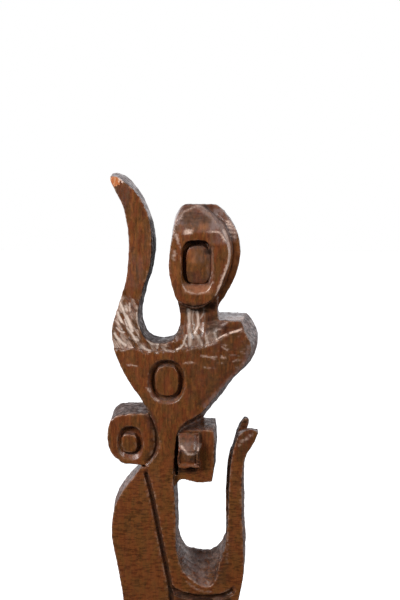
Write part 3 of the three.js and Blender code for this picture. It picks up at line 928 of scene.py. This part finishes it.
    def displace(self, surface: Surface, cuts: np.ndarray, sunk: np.ndarray) -> None:
        """Move the points by all that is cut into them.

        Args:
            surface: the rounded form, changed in place.
            cuts: heights of the tool marks, in millimetres.
            sunk: how far each point stands out of the rough form.
        """
        normals = surface.spread(surface.normals, 3)
        normals /= np.linalg.norm(normals, axis=1)[:, None].clip(1e-6)
        forward = blend_step(0.2, 0.5, -surface.normals[:, 1])
        facets = sum(cut.depth(surface.points) for cut in self.facets) * forward
        nicks = blend_step(0.8, 2.2, sunk) * soft_noise(surface.points, (8, 8, 8), 7).clip(0, 1)
        moved = cuts + self.waviness(surface) - nicks - facets
        surface.points = surface.points + normals * moved[:, None]
        surface.points[:, 2] = np.maximum(surface.points[:, 2], 0.0)
        beyond = (surface.points[:, 1] - self.shallow_area.y[0]).clip(0.0)
        surface.points[:, 1] -= self.shallow_area.share(surface.points) * beyond

    def worn_edge_highlight(self, surface: Surface) -> np.ndarray:
        """Edges where the stain is worn, with a painted highlight along them, apart from those kept plain.

        Args:
            surface: the carved form.

        Returns:
            One share for each point.
        """
        points = surface.points
        relief = surface.standing_out(surface.spread(points, self.fine_rounds), surface.normals)
        above = points[:, 2] - self.collar_line(points[:, 0])
        along_collar = blend_step(16.0, 8.0, np.abs(above)) * blend_step(20.0, 0.0, points[:, 0])
        kept = np.maximum(most(self.plain_edge_areas, points), along_collar)
        return blend_step(0.1, 0.6, surface.spread(relief, 1)) * (1.0 - 0.85 * kept)

    def hollow_shade(self, surface: Surface, sunk: np.ndarray) -> np.ndarray:
        """Painted shade in hollows, with some pooled stain.

        Args:
            surface: the carved form.
            sunk: how far each point stood out of the rough form.

        Returns:
            One share for each point.
        """
        hollow = blend_step(-0.6, -3.0, surface.spread(sunk, 2))
        for ring in self.hollows:
            hollow = hollow * (1.0 - 0.75 * ring.lightening(surface.points))
        for tone in self.unshaded_areas:
            hollow = hollow * (1.0 - tone.share(surface.points))
        return hollow

    def painted_shade(self, surface: Surface) -> np.ndarray:
        """Painted shade, nearly black: shadows under the chin, the knob and the hook, in gaps and on shaded
        sides.

        Args:
            surface: the carved form.

        Returns:
            One share for each point.
        """
        points, normals = surface.points, surface.normals
        patches = np.maximum(most(self.shade_tones, points), strongest(self.shade_lines, points, 0.8))
        patches *= blend_step(0.85, 0.6, normals[:, 0]) * blend_step(0.5, 0.2, normals[:, 1])
        return np.maximum(patches, most(self.side_shade_tones, points) * surface.facing(Facing.SIDE))

    def streaked(self, surface: Surface) -> np.ndarray:
        """The board's sides, where the gouge left dark streaks; not the mask, and little on the shoulder.

        Args:
            surface: the carved form.

        Returns:
            One share for each point.
        """
        mask = zone(surface.points, (-30, 106), (1030, 1240), 4.0)
        mask = mask * blend_step(-12.0, -17.0, surface.points[:, 1])
        shoulder = zone(surface.points, (60, 122), (978, 1004), 6.0)
        return surface.facing(Facing.SIDE) * (1.0 - mask) * (1.0 - 0.75 * shoulder)

    def near_front(self, surface: Surface) -> np.ndarray:
        """1 on the front and its edges, 0 on what lies deeper or looks back."""
        shallow = blend_step(-8.0, -16.0, surface.points[:, 1])
        return shallow * blend_step(-0.3, 0.0, -surface.normals[:, 1])

    def highlights_and_scratches(self, surface: Surface) -> np.ndarray:
        """Painted highlights on edges, facets and the shoulder's top, and scratches through to lighter wood.

        Args:
            surface: the carved form.

        Returns:
            One share for each point.
        """
        points = surface.points
        found = np.maximum(strongest(self.highlight_and_scratch_lines, points, 0.6), most(self.highlight_spots, points))
        flecks = blend_step(0.4, 0.8, soft_noise(points, (5, 5, 4), 14))
        found = np.maximum(found, 0.5 * flecks * zone(points, (70, 122), (890, 968), 12.0))
        found = found * self.near_front(surface)
        shoulder = zone(points, (56, 122), (976, 1004), 6.0) * blend_step(0.5, 0.9, surface.normals[:, 2])
        streaks = blend_step(-0.1, 0.5, soft_noise(points, (26, 9, 9), 15))
        return np.maximum(found, 0.4 * shoulder * streaks)

    def pale_and_sheen(self, surface: Surface) -> np.ndarray:
        """Pale grey varnish, and a painted sheen on faces that look up, standing in for reflected light.

        Args:
            surface: the carved form.

        Returns:
            One share for each point.
        """
        points = surface.points
        patches = np.maximum(most(self.tones, points), strongest(self.sheen_lines, points, 0.5))
        patches = patches * self.near_front(surface)
        sheen_on_tops = self.top_sheen_level + sum(tone.share(points) for tone in self.top_sheen_tones)
        sheen_on_tops = sheen_on_tops * blend_step(0.45, 0.9, surface.normals[:, 2])
        sheen_on_tops = sheen_on_tops * (1.0 - self.collar_front.share(points))
        return np.clip(np.maximum(patches, sheen_on_tops), 0.0, 1.0)

    def thinned(self, piece: bpy.types.Object) -> None:
        """Bring the triangles under the limit, with the fewest where the surface is flattest.

        Args:
            piece: the carved piece, changed in place.
        """
        triangles = sum(len(face.vertices) - 2 for face in piece.data.polygons)
        if triangles <= self.most_triangles:
            return
        fewer = piece.modifiers.new("fewer", "DECIMATE")
        fewer.ratio = self.most_triangles / triangles
        mesh = applied(piece)
        piece.modifiers.clear()
        piece.data = mesh

    def build(self) -> bpy.types.Object:
        """Make the carved piece.

        Returns:
            The piece, in place of the plain solid.
        """
        mesh = self.remeshed()
        self.carve(mesh)
        piece = placed("carved_figure", mesh)
        self.thinned(piece)
        piece.data.shade_smooth()
        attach(piece, "root")
        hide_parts(self.node)
        self.made = piece
        return piece

    def dress(self, finish: "StainedWood") -> None:
        """Give the piece its finish."""
        self.made.data.materials.clear()
        self.made.data.materials.append(finish.material())


Source = bpy.types.NodeSocket | float | tuple[float, ...]


@dataclass
class NodeBench:
    """Short ways to add and join shader nodes."""

    tree: bpy.types.NodeTree

    def add(self, kind: str, **settings: object) -> bpy.types.Node:
        """Add a node and set its properties.

        Args:
            kind: the node's type.
            settings: its properties by name.

        Returns:
            The node.
        """
        node = self.tree.nodes.new(kind)
        for name, value in settings.items():
            setattr(node, name, value)
        return node

    def join(self, source: Source, target: bpy.types.NodeSocket) -> None:
        """Join a socket, or set a plain value.

        Args:
            source: a socket, a number or a colour.
            target: the input that takes it.
        """
        if isinstance(source, bpy.types.NodeSocket):
            self.tree.links.new(source, target)
        else:
            target.default_value = source

    def attribute(self, name: str) -> bpy.types.NodeSocket:
        """A number kept on the mesh."""
        return self.add("ShaderNodeAttribute", attribute_name=name).outputs["Fac"]

    def math(self, kind: str, first: Source, second: Source, clamp: bool = False) -> bpy.types.NodeSocket:
        """A sum on two numbers.

        Args:
            kind: the operation.
            first: a socket or a number.
            second: a socket or a number.
            clamp: whether the result is kept from 0 to 1.

        Returns:
            The result's socket.
        """
        node = self.add("ShaderNodeMath", operation=kind, use_clamp=clamp)
        self.join(first, node.inputs[0])
        self.join(second, node.inputs[1])
        return node.outputs[0]

    def times(self, first: Source, second: Source) -> bpy.types.NodeSocket:
        """The product of two numbers."""
        return self.math("MULTIPLY", first, second)

    def object_place(self) -> bpy.types.NodeSocket:
        """The object's own coordinates, in metres."""
        return self.add("ShaderNodeTexCoord").outputs["Object"]

    def place(self, stretch: tuple[float, float, float], tip_deg: float = 0.0) -> bpy.types.NodeSocket:
        """The object's own coordinates in millimetres, divided by a size along each axis.

        Args:
            stretch: the size along each axis.
            tip_deg: how far they are tipped about the first axis.

        Returns:
            The coordinates' socket.
        """
        place = self.object_place()
        if tip_deg:
            tipped = self.add("ShaderNodeVectorRotate", rotation_type="X_AXIS")
            self.join(place, tipped.inputs["Vector"])
            tipped.inputs["Angle"].default_value = math.radians(tip_deg)
            place = tipped.outputs[0]
        mapping = self.add("ShaderNodeMapping")
        self.join(place, mapping.inputs["Vector"])
        mapping.inputs["Scale"].default_value = [1.0 / (MM * size) for size in stretch]
        return mapping.outputs["Vector"]

    def noise(
        self,
        stretch: tuple[float, float, float],
        detail: float = 3.0,
        rough: float = 0.55,
        tip_deg: float = 0.0,
    ) -> bpy.types.NodeSocket:
        """Noise whose cells have a size in millimetres along each axis.

        Args:
            stretch: the size of its cells.
            detail: how many finer layers it has.
            rough: how strong they are.
            tip_deg: how far it is tipped about the first axis.

        Returns:
            The noise's socket, from 0 to 1.
        """
        node = self.add("ShaderNodeTexNoise")
        self.join(self.place(stretch, tip_deg), node.inputs["Vector"])
        node.inputs["Scale"].default_value = 1.0
        node.inputs["Detail"].default_value = detail
        node.inputs["Roughness"].default_value = rough
        return node.outputs["Fac"]

    def ramp(
        self, source: bpy.types.NodeSocket, low: float, high: float, start: float = 0.0, end: float = 1.0
    ) -> bpy.types.NodeSocket:
        """Map one range of numbers to another, smoothly.

        Args:
            source: the socket to map.
            low: where the range starts.
            high: where it ends.
            start: the result at its start.
            end: the result at its end.

        Returns:
            The result's socket.
        """
        node = self.add("ShaderNodeMapRange", interpolation_type="SMOOTHSTEP")
        self.join(source, node.inputs["Value"])
        for name, value in (("From Min", low), ("From Max", high), ("To Min", start), ("To Max", end)):
            node.inputs[name].default_value = value
        return node.outputs["Result"]

    def mix(self, share: Source, first: Source, second: Source, kind: str = "MIX") -> bpy.types.NodeSocket:
        """Mix two colours.

        Args:
            share: how much of the second, a socket or a number.
            first: a colour or a socket.
            second: a colour or a socket.
            kind: how they are mixed.

        Returns:
            The mixed colour's socket.
        """
        node = self.add("ShaderNodeMix", data_type="RGBA", blend_type=kind, clamp_factor=True)
        self.join(share, node.inputs[0])
        self.join(first, node.inputs[6])
        self.join(second, node.inputs[7])
        return node.outputs[2]


def paint(red: float, green: float, blue: float) -> tuple[float, float, float, float]:
    """A colour from its values as seen on a screen, 0 to 255.

    Args:
        red: red.
        green: green.
        blue: blue.

    Returns:
        The same colour as the shader counts it.
    """
    def linear(value: float) -> float:
        """One value as light."""
        share = value / 255.0
        return share / 12.92 if share <= 0.04045 else ((share + 0.055) / 1.055) ** 2.4

    return (linear(red), linear(green), linear(blue), 1.0)


@dataclass(frozen=True)
class StainedWood:
    """Dark brown stain and a thin semi-gloss varnish over straight vertical grain, with painted shade and
    highlights.
    """

    name: str = "stained_wood"
    red_brown: tuple[float, float, float, float] = paint(119, 63, 33)
    ochre_brown: tuple[float, float, float, float] = paint(108, 68, 34)
    light_brown: tuple[float, float, float, float] = paint(140, 84, 42)
    dark_brown: tuple[float, float, float, float] = paint(48, 24, 13)
    # near black, for painted shade
    painted_shade_dark: tuple[float, float, float, float] = paint(18, 9, 6)
    # worn edges, partly a painted highlight
    worn_edge_highlight: tuple[float, float, float, float] = paint(190, 150, 126)
    # bare wood at the chip and the scratches, and the colour of painted highlights
    bare_and_highlight: tuple[float, float, float, float] = paint(228, 196, 178)
    # pale grey varnish, also a painted sheen
    pale: tuple[float, float, float, float] = paint(138, 116, 111)
    # chisel facets: partly worn varnish, partly a painted highlight
    chiselled: tuple[float, float, float, float] = paint(226, 198, 180)
    # painted highlight on the gouge strokes
    cut_highlight: tuple[float, float, float, float] = paint(246, 224, 208)
    # amber painted light
    painted_light_amber: tuple[float, float, float, float] = paint(176, 108, 60)
    fresh_wood: tuple[float, float, float, float] = paint(192, 110, 62)
    fresh_edge: tuple[float, float, float, float] = paint(208, 150, 108)
    roughness: tuple[float, float] = (0.18, 0.36)
    ripple_top_z: float = 0.74
    ripple_strength: float = 0.32
    chips: tuple[tuple[float, float, float, float], ...] = ((-134, -48, 1271, 10.5), (-127, -48, 1274, 8.0))
    bare_chip: tuple[float, float, float, float] = (-120, -48, 1274, 5.5)

    def chip(self, bench: NodeBench, place: tuple[float, float, float, float]) -> bpy.types.NodeSocket:
        """Where fresh wood shows at the broken tip of the arm.

        Args:
            bench: the node helper.
            place: the chip's centre and its radius, in millimetres.

        Returns:
            A socket that is 1 on the chip.
        """
        distance = bench.add("ShaderNodeVectorMath", operation="DISTANCE")
        bench.join(bench.object_place(), distance.inputs[0])
        distance.inputs[1].default_value = [value * MM for value in place[:3]]
        ragged = bench.times(bench.ramp(bench.noise((4, 4, 7)), 0.3, 0.7, -3.0, 3.0), MM)
        reach = bench.math("ADD", distance.outputs["Value"], ragged)
        return bench.ramp(reach, (place[3] - 0.7) * MM, (place[3] + 0.7) * MM, 1.0, 0.0)

    def grain(self, bench: NodeBench) -> bpy.types.NodeSocket:
        """Stain colour along the grain.

        Args:
            bench: the node helper.

        Returns:
            The colour's socket.
        """
        patches = bench.ramp(bench.noise((16, 16, 42), 5, 0.65), 0.42, 0.58)
        base = bench.mix(patches, self.red_brown, self.ochre_brown)
        upper = bench.ramp(self.lower(bench), 0.0, 1.0, 1.0, 0.45)
        streaks = bench.ramp(bench.noise((4.2, 4.2, 34), 4, 0.65), 0.44, 0.66, 0.0, 0.42)
        base = bench.mix(bench.times(streaks, upper), base, self.dark_brown)
        flames = bench.ramp(bench.noise((4.5, 4.5, 20), 3, 0.6), 0.52, 0.66, 0.0, 0.65)
        base = bench.mix(bench.times(flames, upper), base, self.light_brown)
        blots = bench.ramp(bench.noise((8, 8, 11), 4, 0.7), 0.48, 0.68)
        return bench.mix(bench.times(blots, 0.45), base, self.dark_brown)

    def marked(self, bench: NodeBench) -> bpy.types.NodeSocket:
        """Grain with the scraper's marks, the dark streaks of the sides and painted shade between cuts.

        Args:
            bench: the node helper.

        Returns:
            The colour's socket.
        """
        base = self.grain(bench)
        base = bench.mix(self.ripple(bench, 0.6, 0.42), base, self.light_brown)
        base = bench.mix(self.ripple(bench, 0.46, 0.66), base, self.dark_brown)
        base = bench.mix(self.side_streaks(bench), base, self.dark_brown)
        return bench.mix(self.ridge_shade(bench), base, self.dark_brown)

    def lightened(self, bench: NodeBench, base: bpy.types.NodeSocket) -> bpy.types.NodeSocket:
        """Painted highlights on the chisel cuts, pale varnish with a painted sheen, and amber painted light.

        Args:
            bench: the node helper.
            base: the colour below them.

        Returns:
            The colour's socket.
        """
        cloud = bench.ramp(bench.noise((10, 10, 18), 4, 0.6), 0.36, 0.6, 0.3, 1.0)
        lines = bench.ramp(self.striations(bench), 0.4, 0.6, 0.4, 1.0)
        # painted highlights on the chisel facets and the strokes
        lit = bench.ramp(bench.attribute("facet"), 0.3, 0.7, 0.1, 0.75)
        lit = bench.times(bench.times(bench.attribute("chiselled"), lit), cloud)
        base = bench.mix(bench.times(lit, lines), base, self.chiselled)
        stroke_highlight = bench.times(bench.attribute("stroke_highlight"), bench.ramp(lines, 0.4, 1.0, 0.8, 1.0))
        base = bench.mix(stroke_highlight, base, self.cut_highlight)
        # pale varnish and painted sheen
        base = bench.mix(bench.times(bench.attribute("tone"), cloud), base, self.pale)
        # amber painted light on shaded parts
        return bench.mix(bench.times(bench.attribute("painted_light_amber"), cloud), base, self.painted_light_amber)

    def shade_wear_and_highlights(self, bench: NodeBench, base: bpy.types.NodeSocket) -> bpy.types.NodeSocket:
        """Painted shade in hollows and shaded patches, worn edges and painted highlights, scratches and wood
        chipped bare.

        Args:
            bench: the node helper.
            base: the colour below them.

        Returns:
            The colour's socket.
        """
        # painted shade: the shaded patches, and the hollows broken up by noise
        base = bench.mix(self.shade_streaks(bench), base, self.painted_shade_dark)
        shade_breakup = bench.ramp(bench.noise((6, 6, 14)), 0.3, 0.6, 0.5, 0.85)
        base = bench.mix(bench.times(bench.attribute("hollow"), shade_breakup), base, self.painted_shade_dark)
        # worn edges, partly a painted highlight
        worn_edge_highlight = bench.times(bench.attribute("edge"), bench.ramp(bench.noise((9, 9, 9)), 0.4, 0.65))
        base = bench.mix(bench.times(worn_edge_highlight, 0.7), base, self.worn_edge_highlight)
        # painted highlights and scratches, broken up by noise
        broken = bench.ramp(bench.noise((3, 3, 5), 2), 0.35, 0.55, 0.45, 1.0)
        base = bench.mix(bench.times(bench.attribute("highlights_and_scratches"), broken), base, self.bare_and_highlight)
        fresh = bench.mix(bench.ramp(bench.noise((4, 4, 12), 2), 0.5, 0.6), self.fresh_wood, self.fresh_edge)
        for place in self.chips:
            base = bench.mix(self.chip(bench, place), base, fresh)
        return bench.mix(self.chip(bench, self.bare_chip), base, self.bare_and_highlight)

    def ridge_shade(self, bench: NodeBench) -> bpy.types.NodeSocket:
        """Painted shade on the ridges between the chisel cuts, with dark flecks.

        Args:
            bench: the node helper.

        Returns:
            A socket from 0 to 1.
        """
        flecks = bench.ramp(bench.noise((3.5, 3.5, 9), 3, 0.6), 0.5, 0.62, 0.0, 0.7)
        between = bench.math("MAXIMUM", bench.attribute("ridge"), flecks)
        return bench.math("MULTIPLY", between, bench.attribute("chiselled"), True)

    def side_streaks(self, bench: NodeBench) -> bpy.types.NodeSocket:
        """Dark streaks that the gouge left from front to back across the sides, from 0 to 1."""
        streaks = bench.ramp(bench.noise((7, 44, 5), 3, 0.6, tip_deg=24.0), 0.42, 0.58, 0.0, 0.8)
        return bench.times(bench.attribute("side"), streaks)

    def shade_streaks(self, bench: NodeBench) -> bpy.types.NodeSocket:
        """Streaks of painted shade where the surface is nearly black, from 0 to 1."""
        streaks = bench.ramp(bench.noise((26, 7, 7), 4, 0.6), 0.35, 0.6, 0.45, 1.1)
        return bench.math("MULTIPLY", bench.attribute("shade"), streaks, True)

    def striations(self, bench: NodeBench) -> bpy.types.NodeSocket:
        """Fine lines that the gouge's edge left along each cut.

        Args:
            bench: the node helper.

        Returns:
            A socket from 0 to 1.
        """
        place = bench.add("ShaderNodeCombineXYZ")
        bench.join(bench.math("DIVIDE", bench.attribute("across"), 2.0), place.inputs["X"])
        bench.join(bench.times(bench.attribute("facet"), 40.0), place.inputs["Y"])
        lines = bench.add("ShaderNodeTexNoise")
        bench.join(place.outputs[0], lines.inputs["Vector"])
        lines.inputs["Scale"].default_value = 1.0
        lines.inputs["Detail"].default_value = 1.0
        return lines.outputs["Fac"]

    def lower(self, bench: NodeBench) -> bpy.types.NodeSocket:
        """Where the lower half lies, which was scraped.

        Args:
            bench: the node helper.

        Returns:
            A socket that is 1 on the lower half and 0 above it.
        """
        parts = bench.add("ShaderNodeSeparateXYZ")
        bench.join(bench.object_place(), parts.inputs[0])
        return bench.ramp(parts.outputs["Z"], self.ripple_top_z, self.ripple_top_z - 0.08)

    def ripple(self, bench: NodeBench, low: float, high: float) -> bpy.types.NodeSocket:
        """A scraper's marks across the lower half: none where their noise is at low, full at high."""
        dashes = bench.ramp(bench.noise((13, 13, 3.4), 2, 0.5), low, high, 0.0, self.ripple_strength)
        return bench.times(dashes, self.lower(bench))

    def relief(self, bench: NodeBench) -> bpy.types.NodeSocket:
        """Fine relief: open grain, small tool chatter and the scraper's marks.

        Args:
            bench: the node helper.

        Returns:
            The normal's socket.
        """
        grain = bench.times(bench.noise((3, 3, 40), 3), 0.8)
        lumps = bench.times(bench.noise((5, 5, 9), 3), 1.0)
        height = bench.math("ADD", grain, lumps)
        height = bench.math("ADD", height, self.ripple(bench, 0.46, 0.62))
        bump = bench.add("ShaderNodeBump")
        bump.inputs["Strength"].default_value = 0.6
        bump.inputs["Distance"].default_value = 0.7 * MM
        bench.join(height, bump.inputs["Height"])
        return bump.outputs["Normal"]

    def dullness(self, bench: NodeBench) -> bpy.types.NodeSocket:
        """Roughness of the varnish: least where it is pale, more in hollows and on the painted shade.

        Args:
            bench: the node helper.

        Returns:
            The roughness's socket.
        """
        rough = bench.ramp(bench.noise((14, 14, 40), 4), 0.3, 0.7, *self.roughness)
        rough = bench.math("ADD", rough, bench.times(bench.attribute("hollow"), 0.3))
        rough = bench.math("SUBTRACT", rough, bench.times(bench.attribute("tone"), 0.1))
        rough = bench.math("ADD", rough, bench.times(self.side_streaks(bench), 0.3))
        return bench.math("ADD", rough, bench.times(self.shade_streaks(bench), 0.45), clamp=True)

    def material(self) -> bpy.types.Material:
        """Make the material.

        Returns:
            The finish, ready to use.
        """
        finish = bpy.data.materials.new(self.name)
        finish.use_nodes = True
        bench = NodeBench(finish.node_tree)
        shader = finish.node_tree.nodes["Principled BSDF"]
        colour = self.shade_wear_and_highlights(bench, self.lightened(bench, self.marked(bench)))
        bench.join(colour, shader.inputs["Base Color"])
        bench.join(self.dullness(bench), shader.inputs["Roughness"])
        bench.join(self.relief(bench), shader.inputs["Normal"])
        # less shine where shade is painted
        shine = bench.ramp(self.shade_streaks(bench), 0.0, 1.0, 0.5, 0.07)
        bench.join(shine, shader.inputs["Specular IOR Level"])
        return finish


@dataclass
class PhotoCamera:
    """The camera, where the photograph was taken from."""

    place: tuple[float, float, float] = (0.104, -1.715, 1.223)
    pitch_deg: float = 6.504
    turn_deg: float = 2.321
    lens: float = 50.0

    def build(self) -> bpy.types.Object:
        """Make the camera.

        Returns:
            The camera, set as the scene's.
        """
        data = bpy.data.cameras.new("camera")
        data.lens = self.lens
        data.sensor_width = 36.0
        camera = placed("camera", data)
        camera.location = self.place
        camera.rotation_euler = (math.radians(90.0 - self.pitch_deg), 0.0, math.radians(self.turn_deg))
        bpy.context.scene.camera = camera
        return camera


@dataclass(frozen=True)
class Lamp:
    """A square soft lamp that looks at one point."""

    name: str
    place: tuple[float, float, float]
    target: tuple[float, float, float]
    size: float
    power: float
    colour: tuple[float, float, float] = (1.0, 1.0, 1.0)

    def build(self) -> bpy.types.Object:
        """Make the lamp.

        Returns:
            The lamp.
        """
        data = bpy.data.lights.new(self.name, "AREA")
        data.size = self.size
        data.energy = self.power
        data.color = self.colour
        lamp = placed(self.name, data)
        lamp.location = self.place
        aim = Vector(self.target) - Vector(self.place)
        lamp.rotation_euler = aim.to_track_quat("-Z", "Y").to_euler()
        return lamp


@dataclass
class Studio:
    """Pale floor, white surroundings and soft lamps."""

    floor_size: float = 40.0
    floor_glow: float = 0.8
    overhead: float = 0.35
    behind: float = 1.1
    ahead: float = 0.05
    below: float = 0.25
    lamps: tuple[Lamp, ...] = (
        Lamp("key", (-1.6, -1.6, 2.1), (0.0, 0.0, 0.9), 1.1, 62.0),
        Lamp("fill", (1.8, -1.7, 2.0), (0.0, 0.0, 0.8), 0.9, 20.0),
    )

    def floor(self) -> bpy.types.Object:
        """Make the floor.

        Returns:
            The floor.
        """
        mesh = bpy.data.meshes.new("floor")
        half = self.floor_size / 2
        shape = bmesh.new()
        signs = ((-1, -1), (1, -1), (1, 1), (-1, 1))
        shape.faces.new([shape.verts.new((x * half, y * half, 0.0)) for x, y in signs])
        shape.to_mesh(mesh)
        shape.free()
        floor = placed("floor", mesh)
        pale = bpy.data.materials.new("pale_floor")
        pale.use_nodes = True
        shader = pale.node_tree.nodes["Principled BSDF"]
        shader.inputs["Base Color"].default_value = (0.86, 0.86, 0.86, 1.0)
        shader.inputs["Roughness"].default_value = 0.9
        shader.inputs["Emission Color"].default_value = (1.0, 1.0, 1.0, 1.0)
        shader.inputs["Emission Strength"].default_value = self.floor_glow
        mesh.materials.append(pale)
        floor.visible_diffuse = False
        floor.visible_glossy = False
        return floor

    def brightness(self, bench: NodeBench) -> bpy.types.NodeSocket:
        """How bright the surroundings are: most behind, less overhead, dim ahead and from below.

        Args:
            bench: the node helper.

        Returns:
            The strength's socket.
        """
        parts = bench.add("ShaderNodeSeparateXYZ")
        bench.join(bench.add("ShaderNodeTexCoord").outputs["Generated"], parts.inputs[0])
        around = bench.ramp(parts.outputs["Y"], -0.8, 0.1, self.ahead, self.behind)
        high = bench.ramp(parts.outputs["Z"], 0.25, 0.8)
        around = bench.times(around, bench.math("SUBTRACT", 1.0, high))
        level = bench.math("ADD", around, bench.times(high, self.overhead))
        return bench.times(level, bench.ramp(parts.outputs["Z"], -0.25, -0.02, self.below, 1.0))

    def surroundings(self) -> None:
        """Light that comes from all round, in front of a plain white background."""
        world = bpy.data.worlds.new("surroundings")
        world.use_nodes = True
        bpy.context.scene.world = world
        bench = NodeBench(world.node_tree)
        ground = world.node_tree.nodes["Background"]
        output = world.node_tree.nodes["World Output"]
        bench.join(self.brightness(bench), ground.inputs["Strength"])
        ground.inputs["Color"].default_value = (0.93, 0.95, 1.0, 1.0)
        plain = bench.add("ShaderNodeBackground")
        plain.inputs["Color"].default_value = (1.0, 1.0, 1.0, 1.0)
        seen = bench.add("ShaderNodeLightPath")
        either = bench.add("ShaderNodeMixShader")
        bench.join(seen.outputs["Is Camera Ray"], either.inputs[0])
        bench.join(ground.outputs[0], either.inputs[1])
        bench.join(plain.outputs[0], either.inputs[2])
        bench.join(either.outputs[0], output.inputs["Surface"])

    def build(self) -> None:
        """Make the floor, the surroundings and the lamps."""
        self.floor()
        self.surroundings()
        for lamp in self.lamps:
            lamp.build()
        bpy.context.scene.view_settings.view_transform = "Standard"


def main() -> None:
    """Build the camera, the studio and the figure."""
    logging.basicConfig(level=logging.INFO, format="%(message)s")
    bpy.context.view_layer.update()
    PhotoCamera().build()
    Studio().build()
    figure = CarvedFigure()
    piece = figure.build()
    figure.dress(StainedWood())
    LOG.info("%s: %d faces, for node %s", piece.name, len(piece.data.polygons), figure.node)


if __name__ == "__main__":
    main()
